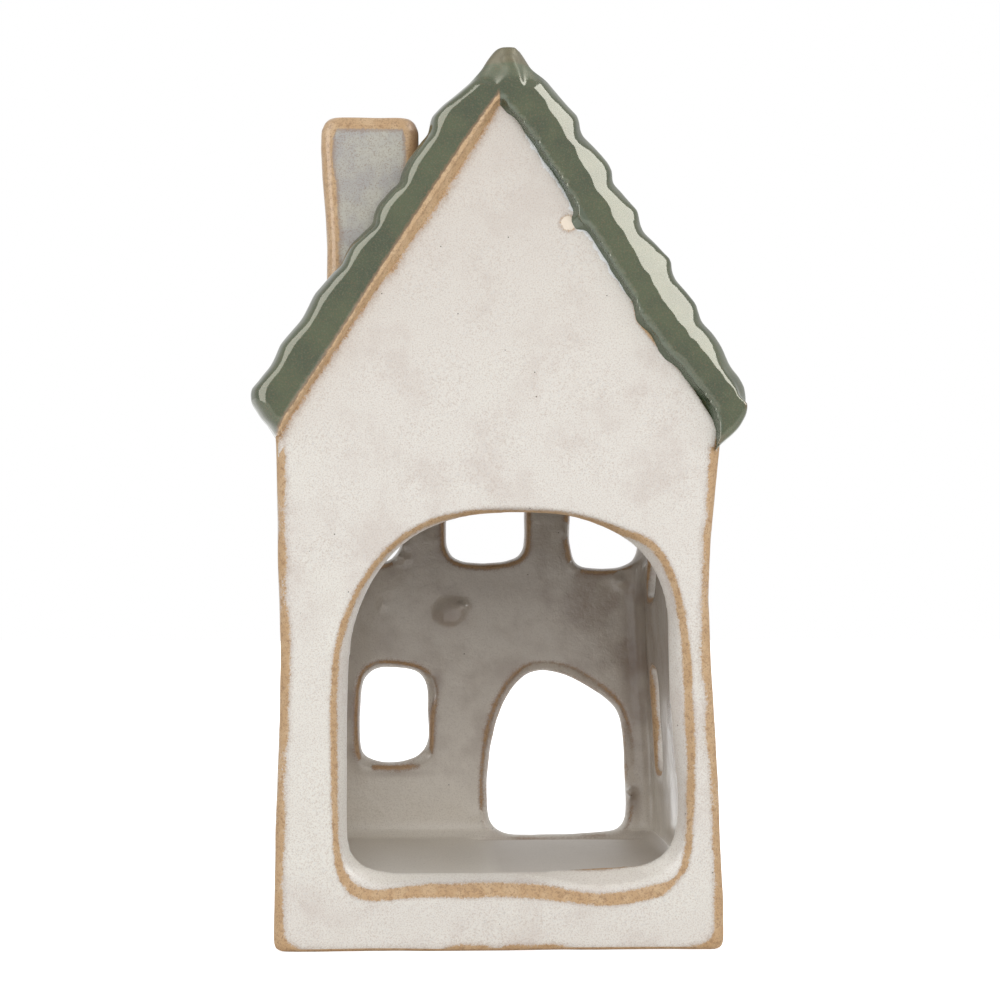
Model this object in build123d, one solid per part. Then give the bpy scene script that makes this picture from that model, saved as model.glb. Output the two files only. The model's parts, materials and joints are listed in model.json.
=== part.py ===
from build123d import *
import math
import os

# Tealight house: stoneware slabs joined and fired into one piece, with room for one tealight.
# The origin is the centre of the base, with +Z up. The open arch for the candle faces -Y,
# and the front with the door faces +Y. Seen from the arch, +X is to the right.

# Body: the sides are drawn in a little at the waist and spread again under the roof.
base_width = 88.0
body_depth = 84.0
waist_width = 84.8
waist_height = 66.0
eave_width = 88.6
eave_height = 101.8
gable_height = 169.5
ridge_shift = 1.2
wall = 5.2
corner_round = 2.2
foot_round = 1.6

# Floor: a slab held between the walls, so that the walls' feet stand on the table.
# A coil of clay is smoothed into its joint with each side wall, and leaves a hollow round there.
floor_top = 14.0
floor_thickness = 6.0
floor_cove = 2.6
floor_cove_land = 0.4

# Candle arch, cut off the middle of its wall. Its sides lean in, then turn over the crown in two arcs.
# The jambs are the mean of the two sides, at the foot and at the waist.
arch_foot_jamb = 11.3
arch_waist_jamb = 9.7
arch_off_middle = 2.4
arch_spring = 36.0
arch_crown = 86.2
arch_shoulder_shares = ((0.965, 0.45), (0.845, 0.845), (0.30, 1.0))
arch_shoulder_round = 16.5
arch_corner = 5.0
rim_round = 1.7

# Door and windows, cut by hand, with rounded corners. The door takes the width that the low window,
# the post beside it and the two jambs leave.
door_jamb = 10.6
door_post = 13.5
door_step = 0.4
door_spring = 36.4
door_corner = 4.0
window_width = 16.6
window_height = 22.5
window_corner = 3.0
window_bevel = 0.9
front_low_sill = 31.0
front_low_jamb = 13.7
front_high_below_eave = 24.4
front_high_jamb = 7.55
side_low_sill = 30.0
side_high_below_eave = 31.3
side_jamb = 8.0

# Roof: two thick slabs with lapped courses pressed into them, and a coil of clay over their joint.
roof_overhang = 3.0
roof_thickness = 9.2
course_count = 7
course_relief = 1.1
course_drop = 4.0
first_crest = 10.5
course_round = 7.5
eave_undercut = 3.4
eave_round = 2.0
verge_bevel = 1.5
ridge_above_gable = 9.7
roll_radius = 3.0
roll_end_bevel = 1.0

# Chimney: a short tube set through the left roof slab, a little wider at its mouth.
chimney_width = 18.4
chimney_mouth_width = 19.4
chimney_depth = 18.0
chimney_from_eave = 18.3
chimney_behind_verge = 9.0
chimney_below_ridge = 13.8
chimney_crown = 0.8
chimney_corner = 1.8
chimney_rim_bevel = 0.8
flue_width = 10.4
flue_depth = 9.0

# A rounding or bevel stays within this share of the thickness or the run that it is on.
round_share = 0.45
# The cap course ends this far up the roll, as a share of the roll's radius above its middle.
roll_seat_share = 0.7

back, front = -body_depth / 2, body_depth / 2
roof_depth = body_depth + 2 * roof_overhang
apex = Vector(ridge_shift, gable_height)
ridge_height = gable_height + ridge_above_gable
roll_middle = ridge_height - roll_radius
rim = min(rim_round, wall * round_share)
window_rim = min(window_bevel, wall * round_share)
outside_round = min(corner_round, wall * round_share)
foot_rounding = min(foot_round, wall * round_share)
verge_cut = min(verge_bevel, roof_thickness * round_share)

lower_width = (base_width + waist_width) / 2
upper_width = (waist_width + eave_width) / 2
door_width = lower_width - door_jamb - door_post - window_width - front_low_jamb
door_middle = (lower_width - door_width) / 2 - door_jamb
front_low_middle = front_low_jamb + (window_width - lower_width) / 2
front_high_spacing = (upper_width - window_width) / 2 - front_high_jamb
side_spacing = body_depth - 2 * (wall + side_jamb) - window_width

chimney_height = ridge_height - chimney_below_ridge
chimney_middle = chimney_from_eave - eave_width / 2
chimney_start = chimney_behind_verge - roof_depth / 2


def along_y(profile, y_from, y_to):
    """The solid whose section, seen from the arch, is the profile."""
    return extrude(Plane.XZ.offset(-y_from) * profile, amount=y_from - y_to)


def rounds_that_fit(points, wished):
    """The wished radius at each corner, or the largest that its two runs leave room for."""
    points = [Vector(*point) for point in points]
    rounds = []
    for before, corner, after, radius in zip(points, points[1:], points[2:], wished):
        reach = min((corner - before).length, (after - corner).length) * round_share
        turn = (corner - before).get_angle(after - corner)
        rounds.append(min(radius, reach / math.tan(math.radians(turn) / 2)))
    return rounds


def side_curve(side):
    """The outer face of a side wall, from the foot past the waist to the eave."""
    foot = (side * base_width / 2, 0)
    waist = (side * waist_width / 2, waist_height)
    eave = (side * eave_width / 2, eave_height)
    return ThreePointArc(foot, waist, eave)


def house_section():
    """The gable wall's outline, up to the underside of the roof."""
    right, left = side_curve(1), side_curve(-1)
    slopes = Polyline(right @ 1, apex, left @ 1)
    return make_face([Line(left @ 0, right @ 0), right, left, *slopes.edges()])


def half_body(side):
    """Everything from the middle to one side's outer face, carried straight up past the eave."""
    outer = side_curve(side)
    rest = Polyline(outer @ 1, (side * eave_width / 2, gable_height), (0, gable_height), (0, 0), outer @ 0)
    return make_face([outer, *rest.edges()])


def half_inside(side):
    """The same half, drawn in by the thickness of the side wall."""
    return Pos(-side * wall, 0) * half_body(side)


def arch_profile():
    """The candle arch: straight feet, sides that lean in, and shoulders turned over the crown."""
    foot, half = base_width / 2 - arch_foot_jamb, waist_width / 2 - arch_waist_jamb
    rise = arch_crown - arch_spring
    shoulders = [(half * across, arch_spring + rise * up) for across, up in arch_shoulder_shares]
    one_side = [(foot, floor_top), (half, arch_spring), *shoulders]
    around = one_side + [(-x, z) for x, z in reversed(one_side)]
    rounds = rounds_that_fit(around, [arch_shoulder_round] * len(around))
    curve = FilletPolyline(*around, radius=rounds)
    face = make_face([*curve.edges(), Line(curve @ 1, curve @ 0)])
    return Pos(arch_off_middle, 0) * fillet(face.vertices().group_by(Axis.Y)[0], arch_corner)


def door_profile():
    """The door: straight sides, rounded lower corners and a half-round head."""
    half, sill = door_width / 2, floor_top + door_step
    left, right = door_middle - half, door_middle + half
    legs = Polyline((left, door_spring), (left, sill), (right, sill), (right, door_spring))
    head = ThreePointArc((right, door_spring), (door_middle, door_spring + half), (left, door_spring))
    face = make_face([*legs.edges(), head])
    return fillet(face.vertices().group_by(Axis.Y)[0], door_corner)


def window_profile(middle, sill):
    """A window with rounded corners, standing on its sill."""
    return Pos(middle, sill + window_height / 2) * RectangleRounded(window_width, window_height, window_corner)


def gable_wall(y_from, y_to, outside):
    """A whole gable wall, with its foot and the house's corners rounded on the outside."""
    slab = along_y(house_section(), y_from, y_to)
    face = slab.faces().filter_by(Axis.Y).sort_by(Axis.Y)[outside]
    foot, *corners = face.outer_wire().edges().sort_by(Axis.Z)[:3]
    slab = fillet(corners, outside_round)
    foot_edges = slab.edges().group_by(Axis.Z)[0].sort_by(Axis.Y)
    inside_edge = foot_edges[-1 if outside == 0 else 0]
    return fillet([edge for edge in foot_edges if edge != inside_edge], foot_rounding)


def rim_edges(solid, outside):
    """The edges of the openings on one face of a gable wall."""
    face = solid.faces().filter_by(Axis.Y).sort_by(Axis.Y)[outside]
    return [edge for wire in face.inner_wires() for edge in wire.edges()]


def candle_arch_wall():
    """The back wall, with the arch that the tealight goes in through."""
    slab = gable_wall(back, back + wall, 0) - along_y(arch_profile(), back - wall, back + 2 * wall)
    return fillet(rim_edges(slab, 0), rim)


def door_wall():
    """The front wall, with the door, one low window beside it and three windows above."""
    openings = [door_profile(), window_profile(front_low_middle, front_low_sill)]
    high_sill = eave_height - front_high_below_eave
    openings += [window_profile(i * front_high_spacing, high_sill) for i in (-1, 0, 1)]
    slab = gable_wall(front - wall, front, -1)
    for opening in openings:
        slab -= along_y(opening, front - 2 * wall, front + wall)
    return chamfer(rim_edges(slab, 0) + rim_edges(slab, -1), window_rim)


def side_wall(side):
    """A side wall between the gable walls, bevelled under the roof, with two rows of windows."""
    section = (half_body(side) & house_section()) - half_inside(side)
    slab = along_y(section, back + wall, front - wall)
    for sill in (side_low_sill, eave_height - side_high_below_eave):
        for end in (-1, 1):
            opening = Plane.YZ * window_profile(end * side_spacing / 2, sill)
            slab -= extrude(opening, amount=side * base_width)
    foot_edges = slab.edges().filter_by(Axis.Y).group_by(Axis.Z)[0].sort_by(Axis.X)
    return fillet(foot_edges[0 if side < 0 else -1], foot_rounding)


def inside_band(low, high, inset):
    """What lies between the side walls from one height to another, drawn in from both."""
    band = Pos(0, (low + high) / 2) * Rectangle(base_width, high - low)
    return band & (Pos(-inset, 0) * half_inside(1) + Pos(inset, 0) * half_inside(-1))


def floor_slab():
    """The floor between the four walls, with a cove along each side wall."""
    slab = inside_band(floor_top - floor_thickness, floor_top + floor_cove, 0)
    hollow = inside_band(floor_top, eave_height, floor_cove_land)
    hollow = fillet(hollow.vertices().group_by(Axis.Y)[0], floor_cove)
    return along_y(slab - hollow, back + wall, front - wall)


def roof_section(side):
    """One roof slab's outline: a plane underside and courses that swell, then drop to the next."""
    eave = Vector(side * eave_width / 2, eave_height)
    run = (eave - apex).length
    down = (eave - apex).normalized()
    out = Vector(-side * down.Y, side * down.X)
    tip = run - eave_undercut
    pitch = (tip - first_crest) / (course_count - 1)

    def place(along, height):
        return apex + down * along + out * height

    outline = [Vector(ridge_shift, roll_middle + roll_radius * roll_seat_share)]
    for course in range(course_count - 1):
        crest = first_crest + course * pitch
        outline += [place(crest, roof_thickness), place(crest + course_drop, roof_thickness - course_relief)]
    outline += [place(tip, roof_thickness), eave]
    rounds = [course_round] * (2 * course_count - 2) + [eave_round]
    surface = FilletPolyline(*outline, radius=rounds_that_fit(outline, rounds))
    underside = Polyline(eave, apex, outline[0])
    return make_face([*surface.edges(), *underside.edges()])


def roll_bed():
    """The space that the coil lies in: its whole length, at its full radius."""
    return along_y(Pos(ridge_shift, roll_middle) * Circle(roll_radius), -roof_depth / 2, roof_depth / 2)


def ridge_roll():
    """The coil over the ridge, with its ends bevelled."""
    roll = roll_bed()
    return chamfer(roll.edges().filter_by(GeomType.CIRCLE), min(roll_end_bevel, roll_radius * round_share))


def roof_slab(side):
    """One roof slab, over both gable walls and the side wall, bevelled along both verges."""
    slab = along_y(roof_section(side), -roof_depth / 2, roof_depth / 2)
    ends = slab.faces().filter_by(Axis.Y)
    underside = slab.faces().filter_by(GeomType.PLANE).sort_by(SortBy.AREA)[-1]
    verges = [edge for end in ends for edge in end.edges() if edge.distance_to(underside) > verge_cut]
    return chamfer(verges, verge_cut) - roll_bed()


def chimney_block():
    """The chimney's outside, from below the roof to its crowned mouth."""
    low, mouth = chimney_width / 2, chimney_mouth_width / 2
    shoulder = chimney_height - chimney_crown
    sides = Polyline((-mouth, shoulder), (-low, eave_height), (low, eave_height), (mouth, shoulder))
    top = ThreePointArc((mouth, shoulder), (0, chimney_height), (-mouth, shoulder))
    profile = Pos(chimney_middle, 0) * make_face([*sides.edges(), top])
    block = along_y(profile, chimney_start, chimney_start + chimney_depth)
    ends = block.faces().filter_by(Axis.Y)
    corners = [edge for end in ends for edge in end.edges().sort_by(Axis.Z)[1:3]]
    block = fillet(corners, chimney_corner)
    return chamfer(block.faces().sort_by(Axis.Z)[-1].edges(), min(chimney_rim_bevel, chimney_corner * round_share))


def chimney(block):
    """The chimney: its outside, cut along the underside of the roof, with the flue through it."""
    middle = Pos(chimney_middle, chimney_start + chimney_depth / 2, 0)
    flue = middle * extrude(Rectangle(flue_width, flue_depth), amount=ridge_height)
    return block - along_y(house_section(), back, front) - flue


block = chimney_block()
nodes = {
    "candle_arch_wall": candle_arch_wall(),
    "door_wall": door_wall(),
    "left_side_wall": side_wall(-1),
    "right_side_wall": side_wall(1),
    "floor_slab": floor_slab(),
    "left_roof_slab": roof_slab(-1) - block,
    "right_roof_slab": roof_slab(1),
    "ridge_roll": ridge_roll(),
    "chimney": chimney(block),
}

os.makedirs("parts", exist_ok=True)
for name, solid in nodes.items():
    export_step(solid, f"parts/{name}.step")
    print(name, "volume", round(solid.volume, 1), "solids", len(solid.solids()))
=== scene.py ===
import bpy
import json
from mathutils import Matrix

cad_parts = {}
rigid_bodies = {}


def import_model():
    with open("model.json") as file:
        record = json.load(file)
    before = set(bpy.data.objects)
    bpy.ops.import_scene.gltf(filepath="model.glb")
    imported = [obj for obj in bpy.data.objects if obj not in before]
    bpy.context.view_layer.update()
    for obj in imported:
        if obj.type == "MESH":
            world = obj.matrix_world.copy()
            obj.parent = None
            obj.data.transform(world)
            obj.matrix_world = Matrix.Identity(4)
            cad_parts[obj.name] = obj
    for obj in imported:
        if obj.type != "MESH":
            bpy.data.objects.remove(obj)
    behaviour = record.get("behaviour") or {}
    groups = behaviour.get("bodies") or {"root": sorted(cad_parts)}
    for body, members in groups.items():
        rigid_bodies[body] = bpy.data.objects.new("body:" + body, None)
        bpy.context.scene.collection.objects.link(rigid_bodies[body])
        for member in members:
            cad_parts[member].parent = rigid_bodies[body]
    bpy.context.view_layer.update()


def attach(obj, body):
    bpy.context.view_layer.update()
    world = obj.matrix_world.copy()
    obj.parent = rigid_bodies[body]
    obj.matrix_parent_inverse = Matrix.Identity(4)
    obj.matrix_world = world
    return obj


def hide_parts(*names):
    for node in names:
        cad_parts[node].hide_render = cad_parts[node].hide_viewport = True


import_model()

import json
import math

import bpy
import numpy as np
from mathutils import Vector

# Camera: it stands in front of the candle arch, a little to its left and below the middle,
# and looks slightly up, as the photograph does.
camera_place = (-0.0188, -0.492, 0.070)
camera_up = math.radians(90 + 2.39)
camera_turn = math.radians(-2.40)
camera_lens = 81.94

bpy.ops.object.camera_add(location=camera_place, rotation=(camera_up, 0, camera_turn))
camera = bpy.context.object
camera.data.lens = camera_lens
camera.data.sensor_width = 36
camera.data.clip_start = 0.01
bpy.context.scene.camera = camera
bpy.context.scene.view_settings.view_transform = "Standard"


# House body: four stoneware walls and a floor, rolled out as slabs, cut by hand while soft and
# joined with slip, so that their corners run into each other. One off-white glaze covers them,
# and bare tan clay shows where it has drawn back from the edges. Sizes here are in millimetres.
wall = 5.2
body_half_depth = 42.0
inside_half_depth = body_half_depth - wall
floor_top = 14.0
foot_recess = 8.0
eave = 100.7
gable = 168.8
ridge_shift = 0.1
ridge_half_width = 0.4
tuck_under_roof = 1.4
side_heights = (0, 10, 22, 34, 46, 57, 69, 81, 91, 101)
left_face = (-44.4, -44.4, -44.2, -43.8, -43.4, -43.3, -43.6, -44.0, -44.3, -44.6)
right_face = (44.4, 44.5, 44.0, 43.5, 42.9, 42.3, 41.8, 42.3, 43.2, 44.6)
outside_corner = 2.2
foot_corner = 1.4
inside_cove = 3.2
knife_bevel = 1.3
clay_grain = 0.55
clay_smoothing = 8

# The candle arch, as its knife line runs on the outside and as it is inside the wall.
arch_middle = (2.0, 48.0)
arch_outside = (
    (-33.1, 49.4), (-32.7, 58.5), (-31.7, 62.9), (-30.5, 66.7), (-28.8, 70.7), (-26.7, 74.3),
    (-23.6, 78.4), (-19.3, 82.3), (-14.6, 84.8), (-11.7, 85.9), (-8.2, 86.6), (-2.8, 87.1),
    (4.0, 87.2), (8.0, 87.1), (14.1, 86.5), (19.9, 85.1), (26.3, 82.7), (29.5, 81.9),
    (32.6, 79.1), (35.0, 74.4), (36.8, 68.0), (38.1, 58.5), (38.5, 49.2), (38.9, 38.0),
    (38.6, 29.5), (38.0, 17.7), (36.4, 13.0), (31.6, 11.1), (26.7, 10.1), (19.0, 9.4),
    (11.5, 10.8), (4.0, 11.5), (-9.8, 11.5), (-17.8, 11.5), (-26.5, 10.2), (-29.8, 11.4),
    (-32.1, 15.8), (-32.6, 22.0), (-32.9, 31.7))
arch_inside = (
    (-30.2, 49.1), (-29.9, 58.5), (-29.5, 62.2), (-28.2, 66.8), (-26.2, 71.4), (-23.5, 75.7),
    (-19.9, 79.8), (-15.3, 83.0), (-10.6, 85.0), (-6.9, 86.0), (-2.6, 86.5), (4.3, 86.6),
    (9.3, 86.5), (14.5, 86.1), (18.6, 84.9), (22.2, 83.3), (26.8, 80.9), (29.9, 77.8),
    (31.6, 74.7), (33.1, 71.1), (34.0, 66.0), (34.3, 58.4), (34.2, 49.0), (35.2, 37.6),
    (35.7, 30.7), (35.7, 23.7), (34.5, 19.9), (32.2, 17.3), (27.1, 15.9), (19.5, 15.5),
    (11.9, 15.3), (4.2, 15.0), (-9.7, 14.9), (-21.3, 15.0), (-25.8, 15.6), (-28.9, 17.1),
    (-29.9, 19.4), (-30.2, 21.4), (-30.2, 31.3))

# The door and the windows of the front, seen from inside the house.
door_middle = (16.6, 32.0)
door_cut = (
    (0.5, 20.1), (0.5, 27.5), (1.1, 34.6), (2.4, 40.5), (4.2, 45.0), (6.6, 48.8), (9.3, 51.4),
    (11.4, 52.2), (13.8, 52.4), (16.2, 52.0), (19.1, 51.1), (23.3, 49.0), (27.2, 46.7),
    (29.9, 44.4), (31.2, 42.3), (31.8, 39.3), (32.3, 33.4), (32.5, 27.4), (32.7, 20.0),
    (32.4, 17.0), (30.7, 15.3), (27.7, 14.9), (20.3, 14.6), (11.4, 14.3), (5.4, 14.4),
    (2.1, 15.7), (0.8, 17.8))
door_rim = (
    (-0.9, 17.5), (-0.9, 27.9), (-0.3, 35.0), (0.8, 40.8), (2.7, 45.7), (5.0, 49.6), (7.8, 52.6),
    (11.0, 54.2), (14.1, 54.4), (17.3, 54.0), (20.8, 52.8), (24.8, 50.5), (29.0, 47.2),
    (31.8, 43.8), (33.6, 39.1), (34.6, 34.0), (34.6, 29.0), (34.3, 22.5), (33.4, 17.0),
    (30.7, 14.6), (20.3, 14.0), (11.4, 13.8), (2.6, 14.2))
low_window_middle = (-21.2, 42.0)
low_window_cut = (
    (-29.0, 41.7), (-29.0, 36.2), (-28.7, 33.5), (-27.3, 32.2), (-24.8, 31.4), (-22.6, 31.1),
    (-19.3, 31.3), (-15.9, 32.4), (-13.9, 34.4), (-13.2, 36.4), (-13.2, 39.5), (-13.5, 42.8),
    (-13.4, 46.2), (-13.6, 49.0), (-14.4, 51.0), (-16.0, 52.4), (-18.2, 52.9), (-21.3, 53.2),
    (-24.4, 53.3), (-26.2, 52.6), (-27.9, 51.0), (-28.5, 49.3), (-28.8, 46.2))
low_window_rim = (
    (-29.8, 42.0), (-29.7, 36.5), (-28.7, 30.4), (-20.7, 30.2), (-12.6, 30.8), (-12.8, 36.5),
    (-12.8, 39.7), (-12.2, 43.4), (-11.2, 47.3), (-11.9, 50.8), (-15.2, 53.1), (-18.2, 53.9),
    (-22.0, 54.5), (-25.6, 54.3), (-28.4, 52.2), (-29.5, 48.0))
high_window_middle = (0.0, 88.5)
high_window_cut = (
    (-9.1, 89.4), (-9.0, 81.4), (-7.8, 78.9), (-5.0, 77.8), (-0.6, 77.5), (4.2, 77.8), (7.6, 78.8),
    (8.9, 80.8), (9.1, 84.3), (9.0, 91.0), (8.6, 96.2), (6.4, 99.0), (0.0, 99.8), (-6.2, 99.2),
    (-8.7, 96.6), (-9.1, 92.0))
right_window_middle = (27.7, 88.0)
right_window_cut = (
    (19.9, 88.4), (19.6, 83.0), (20.2, 79.4), (20.9, 77.4), (22.7, 76.5), (27.2, 76.2), (31.2, 76.5),
    (34.4, 77.9), (35.5, 80.3), (35.7, 86.0), (35.6, 92.0), (34.9, 96.0), (32.4, 98.6), (27.5, 99.2),
    (22.4, 98.8), (20.1, 96.4), (19.8, 92.0))
left_window_middle = (-27.6, 88.0)
left_window_cut = (
    (-19.4, 84.0), (-19.8, 81.0), (-22.0, 78.2), (-26.0, 77.3), (-31.0, 77.2), (-34.6, 78.4),
    (-35.7, 82.0), (-35.9, 88.0), (-35.6, 95.0), (-33.6, 98.4), (-27.6, 99.4), (-21.6, 98.7),
    (-19.6, 95.0), (-19.3, 89.0))

# Windows in the side walls, two rows of two: the middle of each along the house and up it, and
# how far each ring of the cut is from the house's middle and how much wider than the window.
side_windows = ((-20.5, 41.3), (20.5, 41.3), (-20.5, 81.6), (20.5, 81.6))
side_window_size = (16.6, 22.5)
side_window_rings = (
    (50.0, 4.0), (43.4, 0.7), (41.8, 0), (38.8, 0), (37.4, 0.7), (30.0, 5.0))

# Drops and crumbs of clay: where each one is across and up, its radius and how proud it stands.
# Most stayed on the inside of the door's wall, and two sit outside beside the right verge.
inner_crumbs = (
    (-8.2, 65.9, 3.6, 0.9), (-5.6, 67.2, 1.6, 1.3), (-24.0, 67.5, 0.8, 0.4), (31.7, 73.1, 1.3, 1.2),
    (20.6, 76.3, 0.6, 0.6), (18.5, 85.1, 0.6, 0.6), (-20.1, 78.9, 0.8, 0.7), (-18.7, 78.2, 0.8, 0.7),
    (-19.1, 81.2, 0.7, 0.6), (33.6, 24.3, 1.3, 1.3), (-28.3, 30.1, 0.6, 0.5),
    (-13.1, 31.4, 0.6, 0.5), (-2.5, 18.9, 0.7, 0.4), (34.6, 28.5, 0.6, 0.5))
verge_crumbs = ((13.0, 144.6, 1.2, 0.9), (14.2, 143.4, 1.1, 0.8))
crumbs = [(x, inside_half_depth, z, radius, proud) for x, z, radius, proud in inner_crumbs]
crumbs += [(x, -body_half_depth, z, radius, proud) for x, z, radius, proud in verge_crumbs]


def pick(piece=None):
    """Leaves edit mode, drops every selection and picks one piece."""
    if bpy.context.mode != "OBJECT":
        bpy.ops.object.mode_set(mode="OBJECT")
    bpy.ops.object.select_all(action="DESELECT")
    if piece:
        piece.select_set(True)
        bpy.context.view_layer.objects.active = piece
    return piece


def points_of(piece):
    """The piece's points, in millimetres."""
    found = np.empty(len(piece.data.vertices) * 3)
    piece.data.vertices.foreach_get("co", found)
    return found.reshape(-1, 3) * 1000


def put_points(piece, points):
    """Moves the piece's points to these places, in millimetres."""
    piece.data.vertices.foreach_set("co", (np.asarray(points) / 1000).ravel())
    piece.data.update()


def edit(piece, operator, **settings):
    """Runs one edit mode operator on what is selected in the piece."""
    if bpy.context.mode != "EDIT_MESH":
        bpy.ops.object.mode_set(mode="EDIT")
    operator(**settings)
    bpy.ops.object.mode_set(mode="OBJECT")


def select_edges(piece, test):
    """Selects the edges whose two ends, in millimetres, pass the test."""
    pick(piece)
    edit(piece, bpy.ops.mesh.select_mode, type="EDGE")
    edit(piece, bpy.ops.mesh.select_all, action="DESELECT")
    points = points_of(piece)
    for edge in piece.data.edges:
        edge.select = bool(test(*points[list(edge.vertices)]))


def modify(piece, kind, **settings):
    """Adds a modifier to the piece and applies it."""
    pick(piece)
    bpy.ops.object.modifier_add(type=kind)
    modifier = piece.modifiers[-1]
    for name, value in settings.items():
        setattr(modifier, name, value)
    bpy.ops.object.modifier_apply(modifier=modifier.name)
    return piece


def slab(name, low, high):
    """A block of clay between two corners, in millimetres."""
    pick()
    bpy.ops.mesh.primitive_cube_add(size=0.001)
    block = bpy.context.object
    block.name = name
    low, high = np.array(low, float), np.array(high, float)
    edit(block, bpy.ops.transform.resize, value=tuple(high - low), center_override=(0, 0, 0))
    edit(block, bpy.ops.transform.translate, value=tuple((low + high) / 2000))
    return block


def skin(name, rings, tube=False):
    """A skin drawn through a row of outlines: a disc or a hoop is extruded from one to the next."""
    pick()
    fill = "NOTHING" if tube else "NGON"
    bpy.ops.mesh.primitive_circle_add(vertices=len(rings[0]), radius=0.001, fill_type=fill)
    made = bpy.context.object
    made.name = name
    put_points(made, rings[0])
    for before, after in zip(rings, rings[1:]):
        if tube:
            edit(made, bpy.ops.mesh.extrude_edges_move)
        else:
            edit(made, bpy.ops.mesh.extrude_region_move)
        points = points_of(made)
        moved = np.array([vertex.index for vertex in made.data.vertices if vertex.select])
        apart = np.linalg.norm(points[moved][:, None] - before[None], axis=2)
        points[moved] = after[apart.argmin(axis=1)]
        put_points(made, points)
    if tube:
        select_edges(made, lambda a, b: any(
            np.linalg.norm(ring - a, axis=1).min() + np.linalg.norm(ring - b, axis=1).min() < 0.001
            for ring in (rings[0], rings[-1])))
        edit(made, bpy.ops.mesh.bridge_edge_loops)
    edit(made, bpy.ops.mesh.select_all, action="SELECT")
    edit(made, bpy.ops.mesh.normals_make_consistent, inside=False)
    return made


def run_of(points, step=0.7):
    """Points an even step apart along a line of corners."""
    points = np.array(points, float)
    reach = np.insert(np.cumsum(np.linalg.norm(np.diff(points, axis=0), axis=1)), 0, 0)
    along = np.linspace(0, reach[-1], int(reach[-1] / step) + 1)
    return np.column_stack([np.interp(along, reach, points[:, axis]) for axis in range(2)])


def reach_of(line, turn):
    """How far a line round a middle reaches from it in each direction."""
    angle, radius = np.arctan2(line[:, 1], line[:, 0]), np.hypot(line[:, 0], line[:, 1])
    order = angle.argsort()
    return np.interp(turn, angle[order], radius[order], period=math.tau)


def softened(line, passes):
    """A closed line, each point drawn toward its neighbours this many times."""
    for _ in range(passes):
        line = (np.roll(line, 1, axis=0) + 2 * line + np.roll(line, -1, axis=0)) / 4
    return line


def outline(cut, middle, outward=0.0, passes=2, count=144):
    """A hand-cut outline shared out by angle round its middle, softened, and moved outward."""
    turn = np.arange(count) / count * math.tau - math.pi
    far = softened(reach_of(run_of(cut + cut[:1]) - middle, turn), passes) + outward
    return np.stack([middle[0] + far * np.cos(turn), middle[1] + far * np.sin(turn)], axis=1)


def upright(cut, y):
    """An outline stood up across the house at this depth."""
    return np.insert(cut, 1, y, axis=1)


def prism(name, inset, half_depth, foot, top):
    """The house's outside or its hollow: the sides curve in at the waist."""
    block = slab(name, (-10, -half_depth, foot), (10, half_depth, top))
    for height in side_heights[1:]:
        if foot < height < top:
            edit(block, bpy.ops.mesh.select_all, action="SELECT")
            edit(block, bpy.ops.mesh.bisect, plane_co=(0, 0, height / 1000), plane_no=(0, 0, 1))
    points = points_of(block)
    left = np.interp(points[:, 2], side_heights, left_face) + inset
    right = np.interp(points[:, 2], side_heights, right_face) - inset
    points[:, 0] = np.where(points[:, 0] < 0, left, right)
    put_points(block, points)
    return block


def cut_away(piece, tool):
    """Cuts the tool's shape out of the piece, and takes the tool away."""
    modify(piece, "BOOLEAN", operation="DIFFERENCE", solver="EXACT", object=tool)
    bpy.data.objects.remove(tool)


def one_body(piece, grain, smoothing):
    """Joins what overlaps into one skin with a point every grain, in millimetres, softens it, and
    drops the specks that a cut left loose."""
    modify(piece, "REMESH", mode="VOXEL", voxel_size=grain / 1000)
    modify(piece, "SMOOTH", factor=0.5, iterations=smoothing)
    edit(piece, bpy.ops.mesh.select_mode, type="VERT")
    edit(piece, bpy.ops.mesh.select_all, action="DESELECT")
    piece.data.vertices[int(points_of(piece)[:, 2].argmax())].select = True
    edit(piece, bpy.ops.mesh.select_linked)
    edit(piece, bpy.ops.mesh.select_all, action="INVERT")
    edit(piece, bpy.ops.mesh.delete, type="VERT")


# The outside: straight walls up to the eaves, then the gables' slopes, tucked a little under
# the roof slabs.
house = prism("house", 0, body_half_depth, 0, eave)
pick(house)
edit(house, bpy.ops.mesh.select_mode, type="FACE")
edit(house, bpy.ops.mesh.select_all, action="DESELECT")
for face in house.data.polygons:
    face.select = face.normal.z > 0.9 and face.center.z > 0.05
edit(house, bpy.ops.mesh.extrude_region_move,
     TRANSFORM_OT_translate={"value": (0, 0, (gable - eave) / 1000)})
points = points_of(house)
ridge = np.array([vertex.select for vertex in house.data.vertices])
points[ridge, 0] = ridge_shift + np.sign(points[ridge, 0]) * ridge_half_width
points[ridge, 2] = gable + tuck_under_roof
raised = (points[:, 2] > eave - 0.5) & ~ridge
points[raised, 2] += tuck_under_roof
put_points(house, points)
select_edges(house, lambda a, b: abs(a[2] - b[2]) > 1 and min(abs(a[0]), abs(b[0])) > 30)
edit(house, bpy.ops.mesh.bevel, offset=outside_corner / 1000, segments=3, affect="EDGES")
select_edges(house, lambda a, b: max(a[2], b[2]) < 0.01)
edit(house, bpy.ops.mesh.bevel, offset=foot_corner / 1000, segments=2, affect="EDGES")

# The hollow between the walls, with a cove along each inside corner.
hollow = prism("hollow", wall, inside_half_depth, floor_top, gable + 10)
select_edges(hollow, lambda a, b: max(a[2], b[2]) < gable and (
    abs(a[2] - b[2]) > 1 or max(a[2], b[2]) < floor_top + 0.1))
edit(hollow, bpy.ops.mesh.bevel, offset=inside_cove / 1000, segments=4, affect="EDGES")
cut_away(house, hollow)
cut_away(house, prism("underside", wall, inside_half_depth, -5, foot_recess))

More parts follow.
